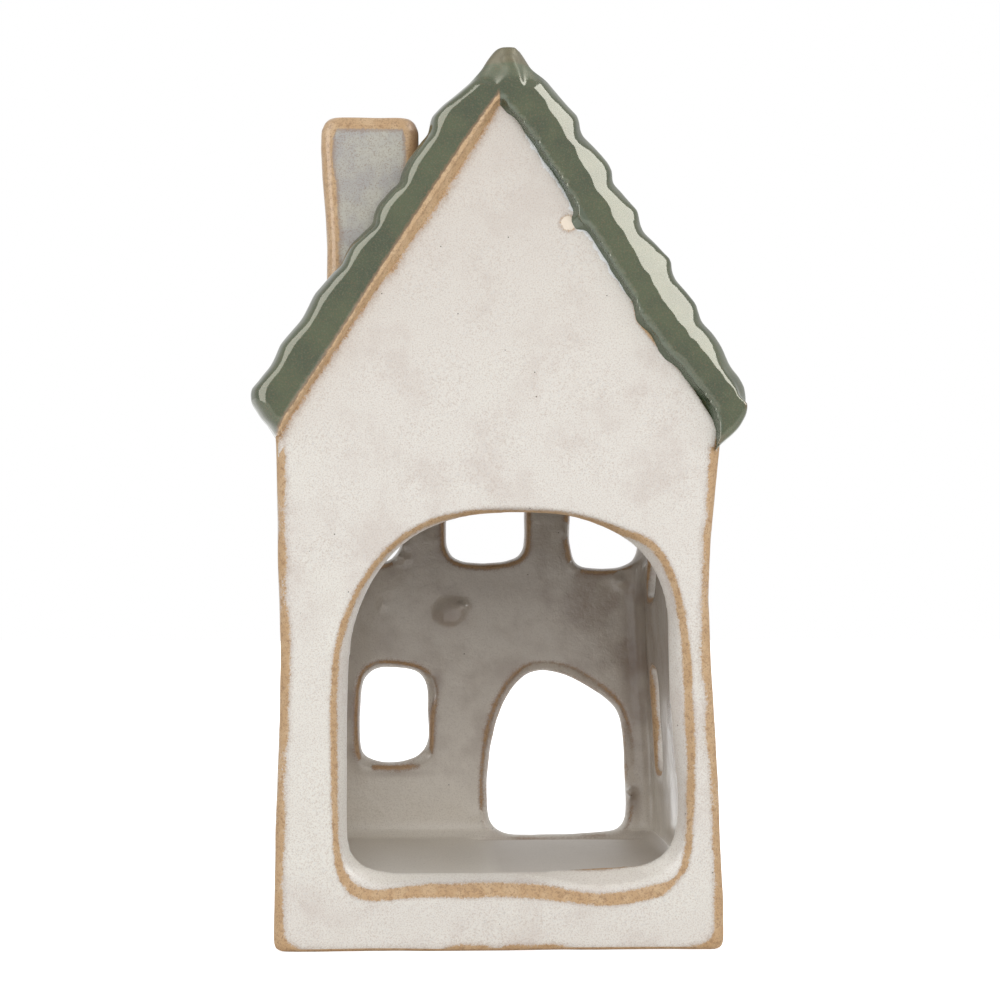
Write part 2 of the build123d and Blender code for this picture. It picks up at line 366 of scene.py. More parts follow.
# The cuts. A wet sponge has rounded each knife edge, inside and out.
arch_passes = 3
knife_line = outline(arch_outside, arch_middle, 0, arch_passes)
inner_line = outline(arch_inside, arch_middle, -0.25, arch_passes)
arch = skin("arch_cut", [
    upright(outline(arch_outside, arch_middle, 5.0, arch_passes), -body_half_depth - 4.0),
    upright(knife_line, -body_half_depth),
    upright((knife_line + inner_line) / 2, -body_half_depth + knife_bevel),
    upright(inner_line, -inside_half_depth - 0.9),
    upright(inner_line, -inside_half_depth - 0.3),
    upright(outline(arch_inside, arch_middle, 2.5, arch_passes), -inside_half_depth + 2.5)])
cut_away(house, arch)
front_cuts = (
    ("door", door_cut, door_rim, door_middle),
    ("low_window", low_window_cut, low_window_rim, low_window_middle),
    ("high_window", high_window_cut, None, high_window_middle),
    ("right_window", right_window_cut, None, right_window_middle),
    ("left_window", left_window_cut, None, left_window_middle))
for name, cut, rim, middle in front_cuts:
    inner = outline(rim, middle) if rim else outline(cut, middle, 0.8)
    through = outline(cut, middle)
    away = (inner - middle) * 1.25 + middle
    cut_away(house, skin(name, [
        upright(away, inside_half_depth - 4.0),
        upright(inner, inside_half_depth),
        upright(through, inside_half_depth + 1.8),
        upright(through, body_half_depth - 1.2),
        upright(outline(cut, middle, 0.9), body_half_depth),
        upright(outline(cut, middle, 4.0), body_half_depth + 4.0)]))
chance = np.random.default_rng(7)
turn = np.arange(48) / 48 * math.tau
half = np.array(side_window_size) / 2
for along, up in side_windows:
    for side in (-1, 1):
        bulge = (np.cos(turn) ** 4 + np.sin(turn) ** 4) ** -0.25
        wander = 1 + 0.02 * np.sin(turn + chance.uniform(0, 6)) + 0.015 * np.sin(
            3 * turn + chance.uniform(0, 6))
        cut = np.stack([np.cos(turn) * half[0], np.sin(turn) * half[1]], axis=1) * (
            bulge * wander)[:, None]
        rings = []
        for out, grow in side_window_rings:
            scaled = cut * (1 + grow / half.mean())
            rings.append(np.column_stack([
                np.full(len(cut), side * out), scaled[:, 0] + along, scaled[:, 1] + up]))
        cut_away(house, skin("side_window", rings))

# Crumbs of clay are pressed on before the glaze runs over everything.
for across, along, up, radius, proud in crumbs:
    pick()
    bpy.ops.mesh.primitive_uv_sphere_add(segments=20, ring_count=12, radius=0.001)
    crumb = bpy.context.object
    squash = (radius, proud, radius * 0.85)
    edit(crumb, bpy.ops.transform.resize, value=squash, center_override=(0, 0, 0))
    place = (across / 1000, along / 1000, up / 1000)
    edit(crumb, bpy.ops.transform.translate, value=place)
    house.select_set(True)
    bpy.context.view_layer.objects.active = house
    bpy.ops.object.join()

one_body(house, clay_grain, clay_smoothing)


def uneven(piece, scale, height):
    """Gives the clay the slight waves of hand work, by moving each point along its normal."""
    waves = bpy.data.textures.new("hand_waves", "CLOUDS")
    waves.noise_scale = scale / 1000
    waves.noise_depth = 1
    modify(piece, "DISPLACE", texture=waves, texture_coords="LOCAL", direction="NORMAL",
           strength=height / 1000, mid_level=0.5)


def proud_of(piece, passes):
    """How far each point stands proud of its smoothed surroundings, in millimetres."""
    mesh = piece.data
    ends = np.empty(len(mesh.edges) * 2, int)
    mesh.edges.foreach_get("vertices", ends)
    first, second = ends.reshape(-1, 2).T
    count = len(mesh.vertices)
    links = np.bincount(first, minlength=count) + np.bincount(second, minlength=count)
    start = points_of(piece)
    smooth = start.copy()
    for _ in range(passes):
        total = np.stack([
            np.bincount(first, smooth[second, axis], count)
            + np.bincount(second, smooth[first, axis], count) for axis in range(3)], axis=1)
        smooth = (smooth + total / links[:, None]) / 2
    normals = np.empty(count * 3)
    mesh.vertex_normals.foreach_get("vector", normals)
    return ((start - smooth) * normals.reshape(-1, 3)).sum(axis=1)


def note(piece, name, values):
    """Keeps one number for each point, which the glaze reads."""
    layer = piece.data.attributes.new(name, "FLOAT", "POINT")
    layer.data.foreach_set("value", np.asarray(values, np.float32))


uneven(house, 16, 0.5)
places = points_of(house)
places[:, 2] = places[:, 2].clip(0)
put_points(house, places)

# Where the roof's fill meets the walls, by how far down the slope a place is: on the right a bead
# of green glaze, and on the left bare clay. It reaches this far over and under the slope's line.
roof_apex = (ridge_shift, gable)
slope_marks = (-9, -4, -1.4, 5, 12, 25, 37, 45, 48.5, 52, 60, 66, 76, 79, 82.3)
fill_high = {1: (0.7, 0.7, 0.8, 1.2, 1.7, 1.5, 1.2, 0.9, 0.9, 0.2, 0.7, 1.7, 2.0, 0.9, -2.4),
             -1: (0.5, 0.5, 0.6, 0.9, 1.1, 1.1, 1.0, 0.9, 0.8, 0.7, 0.5, 0.5, 0.6, 0.3, -0.5)}
fill_low = {1: (-0.3, -0.3, -0.1, 0.2, 0.8, 0.5, 0.0, -0.2, 0.1, -1.4, -0.6, 0.8, 1.0, 0.2, -2.9),
            -1: (-0.2, -0.2, -0.2, -0.4, -0.7, -1.1, -0.8, -0.4, -0.3, -0.2, -0.2, -0.2, -0.2, -0.4,
                 -0.9)}


def slope_of(side):
    """Down along the roof's slope and straight out of it, seen from the arch."""
    eave_end = np.array((right_face[-1] if side > 0 else left_face[-1], eave))
    down = (eave_end - roof_apex) / np.linalg.norm(eave_end - roof_apex)
    return down, np.array((-down[1], down[0])) * side


def run_down(s):
    """How far the green glaze has run down over the arch's wall, at one place on the right."""
    return 2.7 * np.exp(-((s - 29) / 1.7) ** 4)


def on_slope(spots, side):
    """How far down the roof's slope and how far out of it each spot (x, z) is."""
    down, out = slope_of(side)
    return (spots - roof_apex) @ down, (spots - roof_apex) @ out


# Where the glaze is bare, stained or dabbed, and how much of the inside is painted in shade. It
# wears thin where the clay stands proud, most of all at the corners and the foot. The arch's knife
# line is bare in a band that is wider at its foot than at its crown, so the band's middle and width
# are given by bearing.
inside_from, inside_fade = 2.4, 2.2
corner_reach = 6
rim_wear = 1.6
across, along, up = places.T
spots = places[:, [0, 2]]
edge = proud_of(house, 30)
outer_left = np.interp(up, side_heights, left_face)
outer_right = np.interp(up, side_heights, right_face)
from_side = np.minimum(across - outer_left, outer_right - across)
depth = np.minimum.reduce([along + body_half_depth, body_half_depth - along, from_side])
inside = ((depth - inside_from) / inside_fade).clip(0, 1)
at_corner = ((corner_reach - from_side) / 4).clip(0, 1) * (
    np.abs(along) > body_half_depth - corner_reach)
corner_wear = 2.6 + 0.3 * np.sin(up / 7.0) + 0.2 * np.sin(up / 2.9)
foot_wear = np.interp(across, (-43, -38, -12, -9, -3, -1, 2, 12, 15, 36, 41),
                      (2.0, 0.9, 0.8, 1.9, 1.9, 1.1, 2.0, 2.0, 0.8, 0.8, 2.0))
at_foot = ((4 - up) / 3).clip(0, 1)
wear = rim_wear + 0.4 * inside + (corner_wear - rim_wear) * at_corner
wear += (foot_wear - wear) * at_foot * (1 - at_corner)

turn = np.arctan2(up - arch_middle[1], across - arch_middle[0])
beyond = np.hypot(up - arch_middle[1], across - arch_middle[0]) - reach_of(
    knife_line - arch_middle, turn)
bearings = np.array((-180, -140, -125, -60, -51, -46, -41, 0, 45, 90, 135, 180)) * math.pi / 180
band_middle = np.interp(turn, bearings, (
    -0.4, -0.5, -0.5, -0.5, -0.6, -0.8, -0.9, -1.05, -0.9, -0.7, -0.7, -0.4))
band_width = np.interp(turn, bearings, (
    1.3, 1.4, 2.7, 2.7, 2.6, 0.6, 1.5, 1.7, 1.4, 0.9, 1.2, 1.3))
band = 1 - np.abs(beyond - band_middle) / (band_width / 2)
band = 0.5 + (0.3 * band * band_width / 1.3).clip(-0.9, 0.22)
by_arch = ((7 - np.abs(beyond)) / 3).clip(0, 1) * (along < -inside_half_depth + 3)
left_s, left_t = on_slope(spots, -1)
right_s, right_t = on_slope(spots, 1)
on_front = along < -body_half_depth + 1
by_crumb = np.zeros(len(places), bool)
for x, y, z, radius, _ in crumbs:
    by_crumb |= np.linalg.norm(places - (x, y, z), axis=1) < radius + 1.2
quiet = by_crumb | (on_front & (np.maximum(left_t, right_t) > -2.5))
at_arch = (along < -inside_half_depth + 3) & (np.abs(beyond) < 8)
bare = np.maximum(edge * wear * (1 - by_arch * (1 - at_corner)) * ~quiet,
                  np.where(at_arch, band, 0))

# Painted shade: the glaze inside is painted darker, as the inside lies in shade, and less so
# on the arch's jambs. Round the side windows' rims it is painted paler, as painted light.
jamb = ((-beyond - 2.4) / 1.2).clip(0, 1) * np.interp(turn, bearings, (
    0.35, 0.5, 0.6, 0.6, 0.5, 0.4, 0.3, 0.25, 0.3, 0.4, 0.35, 0.35))
inside = np.where((along < -inside_half_depth + 0.5) & (beyond > -7), jamb, inside)
for window_along, window_up in side_windows:
    rim_reach = (np.abs((along - window_along) / side_window_size[0] * 2) ** 4
                 + np.abs((up - window_up) / side_window_size[1] * 2) ** 4) ** 0.25
    by_rim = (1.2 - np.abs(rim_reach - 1.02) / 0.16).clip(0, 1) * (np.abs(across) > 34)
    inside = inside * (1 - 0.75 * by_rim)

# Under the verges: bare clay on the left, and on the right a run of green, a pale dab of glaze
# along the green, and a cream chip with a ring of bare clay.
dab_marks, dab_widths = (5, 12, 26, 34, 46, 50), (0.6, 1.25, 1.3, 1.1, 1.0, 0.4)
chip_middle, chip_radius = (13.6, 144.0), 1.5
under_left = -left_t + np.interp(left_s, slope_marks, fill_low[-1])
under_right = -right_t + np.interp(right_s, slope_marks, fill_low[1]) - run_down(right_s)
bare = np.where(on_front & (under_left < 3), np.maximum(bare, 0.57 - 0.19 * under_left), bare)
bare = np.where(on_front & (under_right < 3) & (right_s > 48),
                np.maximum(bare, 0.58 - 0.6 * under_right), bare)
pale = np.interp(right_s, dab_marks, dab_widths)
dab = np.where(on_front & (across > ridge_shift), pale - under_right / 1.8, 0)
chip = np.hypot(across - chip_middle[0], up - chip_middle[1])
dab = np.where(chip < 2.4, 0, dab.clip(0, 1.3))
bare = np.where(on_front, np.maximum(bare, 0.58 - 0.5 * np.abs(chip - chip_radius)), bare)
chip = (2.4 - 1.1 * chip).clip(0, 1) * on_front
under = (up < 0.5) | ((up < foot_recess + 1.5) & (inside > 0.5))
bare = np.where(under, 2.0, bare)

# Brown stains on the inside of the door's wall, and a dark band down its far right corner and broad
# darker patches high on it: the middle of each, its half width and height, and its strength. The
# right part of the floor is stained evenly.
stains = (
    (-8.4, 65.0, 4.4, 3.2, 0.9), (-30.0, 40.0, 1.3, 9.0, 0.8), (-20.0, 28.9, 8.0, 0.9, 0.6),
    (34.2, 56.0, 2.6, 20.0, 0.9), (34.5, 22.5, 1.8, 3.8, 0.9), (0.0, 76.4, 9.0, 1.0, 0.6),
    (28.0, 74.4, 8.0, 1.0, 0.6), (-11.2, 50.0, 1.3, 3.4, 0.9), (-12.0, 38.0, 0.9, 7.0, 0.6),
    (25.0, 67.0, 9.0, 7.0, 0.4), (4.0, 72.0, 15.0, 4.0, 0.3), (18.0, 83.0, 1.0, 7.0, 0.5),
    (10.0, 84.0, 1.0, 7.0, 0.5), (-10.4, 84.0, 1.0, 7.0, 0.5))
stain = np.zeros(len(places))
for middle_x, middle_z, wide, high, strength in stains:
    off = ((across - middle_x) / wide) ** 2 + ((up - middle_z) / high) ** 2
    stain = np.maximum(stain, strength * np.exp(-off) * (along > 30))
floor_stain = 0.34 * ((across + 1.5) / 3).clip(0, 1) * (up < floor_top + 1.5) * (inside > 0.5)
stain = np.maximum(stain, floor_stain)
for name, values in (("bare", bare), ("inside", inside), ("dab", dab), ("chip", chip),
                     ("stain", stain), ("height", up)):
    note(house, name, values)


class Glaze:
    """A value in a glaze's nodes. Sums on values add Math nodes, and node() adds any other kind."""

    def __init__(self, material, socket=None):
        self.material = material
        self.socket = socket

    def node(self, kind, settings, inputs, output=0):
        made = self.material.node_tree.nodes.new(kind)
        for name, value in settings.items():
            setattr(made, name, value)
        for name, value in inputs.items():
            if isinstance(value, Glaze):
                self.material.node_tree.links.new(value.socket, made.inputs[name])
            else:
                made.inputs[name].default_value = value
        return Glaze(self.material, made.outputs[output])

    def maths(self, operation, *values):
        numbers = dict(enumerate(values))
        return self.node("ShaderNodeMath", {"operation": operation}, numbers)

    def __add__(self, other):
        return self.maths("ADD", self, other)

    __radd__ = __add__

    def __sub__(self, other):
        return self.maths("SUBTRACT", self, other)

    def __rsub__(self, other):
        return self.maths("SUBTRACT", other, self)

    def __mul__(self, other):
        return self.maths("MULTIPLY", self, other)

    __rmul__ = __mul__

    def place(self):
        """Where a point is on the object."""
        return self.node("ShaderNodeTexCoord", {}, {}, "Object")

    def kept(self, name):
        """A number kept for each point of the piece."""
        return self.node("ShaderNodeAttribute", {"attribute_name": name}, {}, "Fac")

    def clouds(self, size, detail=2.0, rough=0.5):
        """Soft noise with features of this size, in millimetres."""
        return self.node("ShaderNodeTexNoise", {}, {
            "Vector": self.place(), "Scale": 1000 / size, "Detail": detail, "Roughness": rough})

    def step(self, low, high):
        """A soft step from 0 to 1 as the value goes from low to high."""
        return self.node("ShaderNodeMapRange", {"interpolation_type": "SMOOTHSTEP"}, {
            "Value": self, "From Min": low, "From Max": high})

    def blend(self, under, over):
        """Colour under where the value is 0, and over where it is 1."""
        return self.node("ShaderNodeMix", {"data_type": "RGBA"}, {0: self, 6: under, 7: over}, 2)

    def clay(self):
        """Bare fired clay: tan, with paler patches and dark specks."""
        ground = (0.6 * self.clouds(3.5, 3).step(0.45, 0.65)).blend(bare_clay, pale_clay)
        ground = (0.7 * self.clouds(0.9, 3, 0.7).step(0.50, 0.70)).blend(ground, dark_clay)
        return (0.85 * self.clouds(0.35, 2, 0.8).step(0.50, 0.72)).blend(ground, dark_clay)

    def sight(self):
        """1 for a ray that shows a thing to the camera, straight or by gloss or glass, and else 0."""
        rays = [self.node("ShaderNodeLightPath", {}, {}, f"Is {kind} Ray")
                for kind in ("Camera", "Glossy", "Transmission")]
        return (rays[0] + rays[1] + rays[2]).step(0, 0.01)


def finish_of(name, base, roughness, height, bump, **constants):
    """A fired surface: its colour, how rough it is and its fine relief, in millimetres."""
    material = bpy.data.materials.new(name)
    material.use_nodes = True
    nodes = material.node_tree.nodes
    shader = nodes["Principled BSDF"]
    start = Glaze(material)
    for socket, value in constants.items():
        shader.inputs[socket.replace("_", " ")].default_value = value
    relief = start.node("ShaderNodeBump", {}, {
        "Strength": 1.0, "Distance": bump / 1000, "Height": height(start)})
    links = material.node_tree.links
    links.new(base(start).socket, shader.inputs["Base Color"])
    links.new(roughness(start).socket, shader.inputs["Roughness"])
    links.new(relief.socket, shader.inputs["Normal"])
    return material


off_white = (0.765, 0.73, 0.675, 1)
# Painted shade: a darker white for the upper walls and gables.
top_shade_white = (0.62, 0.565, 0.505, 1)
pink_white = (0.645, 0.58, 0.53, 1)
freckle = (0.50, 0.40, 0.33, 1)
cream = (0.81, 0.785, 0.72, 1)
bare_clay = (0.53, 0.345, 0.185, 1)
dark_clay = (0.30, 0.175, 0.085, 1)
pale_clay = (0.62, 0.44, 0.265, 1)
# Dark clay for thin-glaze margins, and also painted shade inside the house and on the chimney's right
# corner.
burnt_clay_and_shade = (0.26, 0.14, 0.075, 1)
# Painted shade: a darker glaze for the inside of the house.
inside_shade_white = (0.57, 0.52, 0.455, 1)
# Painted light: a paler inside glaze toward the floor, as if lit through the arch.
inside_lit_white = (0.78, 0.73, 0.65, 1)
inside_brown = (0.27, 0.20, 0.155, 1)
pinhole_brown = (0.06, 0.04, 0.03, 1)
cool_fleck = (0.55, 0.55, 0.55, 1)
dab_white = (0.78, 0.79, 0.79, 1)
chip_cream = (0.84, 0.73, 0.60, 1)


def body_colour(glaze):
    inside = glaze.kept("inside")
    white = (0.65 * glaze.clouds(11, 5, 0.7).step(0.46, 0.68)).blend(off_white, pink_white)
    white = (0.7 * glaze.clouds(26, 2).step(0.5, 0.7)).blend(white, cream)
    # Painted shade: the walls are painted darker toward the gable's top.
    white = (0.6 * glaze.kept("height").step(90, 165)).blend(white, top_shade_white)
    white = (0.65 * glaze.clouds(0.3, 2, 0.8).step(0.44, 0.72)).blend(white, freckle)
    white = (0.4 * glaze.clouds(0.35, 2, 0.8).step(0.5, 0.72)).blend(white, cool_fleck)
    # Painted light and shade inside: paler toward the floor, as if lit through the arch, and darker
    # higher up.
    low = glaze.kept("height").step(44, 12)
    shade = low.blend(inside_shade_white, inside_lit_white)
    shade = (0.25 * glaze.clouds(0.3, 2, 0.8).step(0.45, 0.70)).blend(shade, inside_brown)
    brown = 0.8 * glaze.kept("stain") + 0.4 * (1 - low) * glaze.clouds(8, 3).step(0.42, 0.72)
    # Painted shade: where the inside mask is set, the glaze is painted in the darker inside colours.
    shade = inside.blend(white, brown.blend(shade, inside_brown))
    fuzz = 0.35 * (glaze.clouds(0.9, 3, 0.7) - 0.5) + 0.55 * (glaze.clouds(0.32, 2, 0.8) - 0.5)
    fuzz = fuzz + 0.25 * (glaze.clouds(5, 2) - 0.5)
    bare = glaze.kept("bare") + fuzz
    # Painted shade: inside, bare clay is painted darker and the dark margin of thin glaze is
    # stronger.
    clay = (inside * 0.35).blend(glaze.clay(), burnt_clay_and_shade)
    colour = (bare.step(0.18, 0.50) * (0.28 + 0.3 * inside)).blend(shade, burnt_clay_and_shade)
    colour = bare.step(0.42, 0.60).blend(colour, clay)
    dab = glaze.kept("dab") + 1.6 * (glaze.clouds(2.4, 3, 0.6) - 0.5)
    colour = dab.step(0.85, 1.0).blend(colour, dab_white)
    chip = glaze.kept("chip") + 0.8 * (glaze.clouds(1.2, 3, 0.6) - 0.5)
    colour = chip.step(0.72, 0.9).blend(colour, chip_cream)
    pinholes = glaze.node("ShaderNodeTexVoronoi", {}, {
        "Vector": glaze.place(), "Scale": 200.0}, "Distance")
    return pinholes.step(0.032, 0.02).blend(colour, pinhole_brown)


def body_roughness(glaze):
    bare = glaze.kept("bare").step(0.4, 0.6)
    inside = glaze.kept("inside")
    floor = inside * glaze.kept("height").step(floor_top + 2.5, floor_top + 0.6)
    return 0.34 + 0.42 * bare - 0.18 * inside + 0.34 * floor


def body_relief(glaze):
    return 0.7 * glaze.clouds(2.5, 2, 0.5) + 0.3 * glaze.clouds(0.5, 2, 0.5)


body_glaze = finish_of("body_glaze", body_colour, body_roughness, body_relief, 0.12)


def keep_shading(piece):
    """Notes the smooth normals, so that slabs parted from one mesh still shade as one surface."""
    normals = np.empty(len(piece.data.vertices) * 3, np.float32)
    piece.data.vertex_normals.foreach_get("vector", normals)
    piece.data.attributes.new("shading", "FLOAT_VECTOR", "POINT").data.foreach_set("vector", normals)


def part_of(whole, name, cuts):
    """One slab of the joined clay, parted from its neighbours along planes inside the joints.
    A cut is a direction and how far out along it the slab ends, in millimetres."""
    pick(whole)
    bpy.ops.object.duplicate()
    part = bpy.context.object
    part.name = name
    for direction, reach in cuts:
        place = np.array(direction) * reach / 1000
        edit(part, bpy.ops.mesh.select_all, action="SELECT")
        edit(part, bpy.ops.mesh.bisect, plane_co=tuple(place), plane_no=direction,
             use_fill=True, clear_outer=True)
    return part


def smooth_over(part):
    """Shades a parted slab with the normals that the whole had."""
    layer = part.data.attributes["shading"]
    normals = np.empty(len(part.data.vertices) * 3, np.float32)
    layer.data.foreach_get("vector", normals)
    part.data.attributes.remove(layer)
    pick(part)
    bpy.ops.object.shade_smooth()
    part.data.normals_split_custom_set_from_vertices(normals.reshape(-1, 3))
    part.data.update()


def hand_in(piece, finish, slot, *nodes):
    """Gives the piece its finish and its place in the model."""
    piece.data.materials.clear()
    piece.data.materials.append(finish)
    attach(piece, "root")
    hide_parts(*nodes)


keep_shading(house)
joint_across, joint_along = 35.5, 33.5
left, right, back, front = (-1, 0, 0), (1, 0, 0), (0, -1, 0), (0, 1, 0)
middle = part_of(house, "middle", [(back, joint_along), (front, joint_along)])
for whole, name, node, cuts in (
        (house, "arch_wall", "candle_arch_wall", [(front, -joint_along)]),
        (house, "front_wall", "door_wall", [(back, -joint_along)]),
        (middle, "left_wall", "left_side_wall", [(right, -joint_across)]),
        (middle, "right_wall", "right_side_wall", [(left, -joint_across)]),
        (middle, "floor", "floor_slab", [(left, joint_across), (right, joint_across)])):
    piece = part_of(whole, name, cuts)
    smooth_over(piece)
    hand_in(piece, body_glaze, "body_glaze", node)
bpy.data.objects.remove(middle)
bpy.data.objects.remove(house)


# Roof: two thick slabs with lapped courses, laid on the slopes so that they stand out past the
# walls, and a coil of clay rolled along the ridge over their joint. The glaze is a glossy dark
# green. It runs off the raised lips and shows brown there.
roof_half_depth = 44.85
roof_side_limits = (-49.42, 49.6)
peak_from, peak_room = 178.0, 1.1
roof_grain = 0.5
roof_smoothing = 6
roof_outside = (
    (-44.0, 101.6), (-44.5, 102.5), (-47.1, 105.4), (-48.9, 108.4), (-49.1, 110.9),
    (-46.6, 114.3), (-45.7, 115.3), (-44.7, 117.0), (-43.4, 119.9), (-40.8, 123.0),
    (-39.4, 124.6), (-38.5, 126.2), (-36.8, 129.6), (-33.2, 134.0), (-31.7, 135.7),
    (-31.2, 137.0), (-29.9, 139.5), (-26.9, 142.5), (-25.5, 143.8), (-25.3, 145.2),
    (-24.2, 147.6), (-21.5, 150.8), (-20.0, 152.0), (-19.7, 153.6), (-18.4, 156.4),
    (-15.5, 160.7), (-14.3, 162.3), (-13.9, 164.1), (-13.5, 165.7), (-11.3, 168.1), (-8.3, 170.5),
    (-5.6, 172.8), (-3.5, 175.1), (-2.9, 176.0), (-2.4, 176.9), (-1.7, 177.8), (-0.9, 178.8),
    (0.4, 180.6), (1.7, 181.4), (3.0, 180.6), (4.0, 178.8), (4.7, 177.8), (5.3, 176.9),
    (5.9, 176.0), (6.5, 175.2), (9.6, 172.8), (12.0, 170.0), (13.9, 167.8), (16.0, 165.5),
    (16.4, 163.8), (16.9, 162.0), (19.6, 159.0), (21.9, 156.2), (22.7, 154.4), (22.8, 152.3),
    (25.2, 149.6), (27.8, 146.7), (28.1, 145.0), (29.0, 142.8), (31.6, 140.3), (34.3, 137.3),
    (34.4, 135.5), (35.2, 133.4), (37.2, 131.0), (39.1, 128.6), (39.7, 126.8), (40.4, 124.9),
    (42.8, 122.2), (44.5, 119.7), (45.4, 117.8), (46.4, 115.8), (48.1, 113.6), (49.2, 111.6),
    (49.6, 109.6), (49.6, 107.6), (49.2, 105.4), (47.9, 103.0), (46.4, 101.4), (44.8, 100.1),
    (43.5, 99.0), (42.6, 98.2))
roof_crispness = 0.55

outer = run_of(roof_outside)
under = run_of([roof_outside[-1], roof_apex, roof_outside[0]])[1:-1]
section = np.vstack([outer, under])
is_outer = np.arange(len(section)) < len(outer)
rounded = softened(section, 1)
rounded += roof_crispness * (rounded - softened(section, 12))
section = np.where(is_outer[:, None], rounded, section)

# At each verge the outer edge is pared off at a slant and then rounded, widely on the right and
# less on the left, and less again toward the ridge. Under it the fill slants back to the wall.
# The right eave's tip is drawn in, and the coil ends a little behind the verge.
paring_depth = 4.3
eave_tip_from, eave_tip_fade = 70, 8
pared_from = (9.5, 7.6, 5.8, 6.4, 6.1, 5.6, 5.2, 4.9, 4.75, 4.6, 5.1, 5.7, 6.9, 8.0, 9.5)
end_depths = (0, 0.8, 2.0, 4.0)
end_rounding = (0.9, 0.5, 0.2, 0)
left_paring = 2.9
slant = {1: math.tan(math.radians(31)), -1: math.tan(math.radians(28))}
rounding_depths = {1: (0, 1.4, 2.2, paring_depth), -1: (0, 0.8, 1.6, 4.0)}
rounding = {1: (2.4, 2.0, 1.3, 0), -1: (1.6, 1.5, 0.9, 0)}
apex_marks, apex_rounding = (-9, -2, 4, 12), (0.5, 0.8, 0.9, 1.0)
coil_set_back = (0, 0.8, 1.5, 2.4)
coil_above = (4.2, 4.0, 1.2, 0)
verge_rings = (0, 0.25, 0.5, 0.85, 1.3, 1.8, 2.3, 2.9, 3.6, 4.4)
across_rings = tuple(np.linspace(6, 2 * roof_half_depth - 6, 30))
overhang = roof_half_depth - body_half_depth
chance = np.random.default_rng(3)
nicks = np.convolve(chance.normal(0, 0.5, len(section)), np.ones(3) / 3, "same")
run_over = np.convolve(chance.normal(0, 1.0, len(section)), np.ones(5) / 5, "same")
rings = []
for from_back in verge_rings + across_rings + tuple(
        2 * roof_half_depth - step for step in reversed(verge_rings)):
    y = from_back - roof_half_depth
    in_from_verge = min(from_back, 2 * roof_half_depth - from_back)
    ring = section.copy()
    for side in (-1, 1):
        here = (section[:, 0] - roof_apex[0]) * side > 0
        down, out = slope_of(side)
        s, t = on_slope(section, side)
        settle = 1 - math.exp(-in_from_verge / 6)
        s = s + is_outer * settle * (
            0.5 * np.sin(y / 9 + s / 11 + side) + 0.3 * np.sin(y / 4.3 - s / 13 + 2 * side))
        t = t + is_outer * settle * 0.18 * np.sin(y / 6 + s / 5 + 3 * side)
        crease = np.interp(s, slope_marks, pared_from) + nicks * 0.7
        if side < 0:
            trend = np.convolve(np.pad(t, 4, mode="edge"), np.ones(9) / 9, "valid")
            crease = trend - left_paring
        worn = t - np.interp(in_from_verge, rounding_depths[side], rounding[side]) * (
            np.interp(s, apex_marks, apex_rounding))
        pared = np.maximum(np.minimum(crease + in_from_verge / slant[side], worn),
                           np.minimum(crease, t))
        t = np.where(is_outer & (in_from_verge < paring_depth), pared, t)
        s = s - is_outer * np.interp(in_from_verge, end_depths, end_rounding) * (
            ((s - eave_tip_from) / eave_tip_fade).clip(0, 1))
        high = np.interp(s, slope_marks, fill_high[side])
        low = np.interp(s, slope_marks, fill_low[side])
        if side > 0:
            low = low + 0.5 * run_over - run_down(s) * (y < 0)
        fill = high + (low - high) * in_from_verge / overhang
        if in_from_verge > overhang + 1:
            fill = 0 * low
            t = np.maximum(t, 0)
        t = np.where(~is_outer, fill, t)
        placed = np.array(roof_apex) + s[:, None] * down + t[:, None] * out
        ring = np.where(here[:, None], placed, ring)
    sunk = np.interp(in_from_verge, coil_set_back, coil_above)
    ring[:, 1] -= sunk * ((section[:, 1] - 173) / 3).clip(0, 1) * is_outer
    rings.append(upright(ring, y))
roof = skin("roof", rings)
one_body(roof, roof_grain, roof_smoothing)
uneven(roof, 9, 0.2)
note(roof, "edge", proud_of(roof, 24))

# The clay that the waves pushed out past the CAD's box is pressed back in.
places = points_of(roof)
peak = places[:, 2] > peak_from
places[peak, 2] = peak_from + peak_room * np.tanh((places[peak, 2] - peak_from) / peak_room)
places[:, 0] = places[:, 0].clip(*roof_side_limits)
put_points(roof, places)
spots, along = places[:, [0, 2]], places[:, 1]
left_s, left_t = on_slope(spots, -1)
right_s, right_t = on_slope(spots, 1)
on_left = (spots[:, 0] < ridge_shift) & (along < -40) & (left_t < 4)
on_right = (spots[:, 0] > ridge_shift) & (along < -41.5) & (right_t < 4)
fill_left = np.interp(left_s, slope_marks, fill_high[-1]) - left_t
fill_right = np.interp(right_s, slope_marks, fill_high[1]) - right_t

# The left fill is bare, the right one is a bead of glaze, and the gloss is thin by the ridge.
note(roof, "bare", np.where(on_left, 0.52 + fill_left * 0.5, 0).clip(0, 1))
note(roof, "bead", np.where(on_right, 0.5 + fill_right, 0).clip(0, 1))
note(roof, "thin", ((places[:, 2] - 171.0) / 5.0).clip(0, 1) * ((-along - 30) / 10).clip(0, 1))

leaf_green = (0.058, 0.081, 0.036, 1)
deep_green = (0.032, 0.053, 0.025, 1)
fleck_green = (0.13, 0.155, 0.095, 1)
lip_brown = (0.16, 0.10, 0.05, 1)
bead_green = (0.072, 0.102, 0.070, 1)


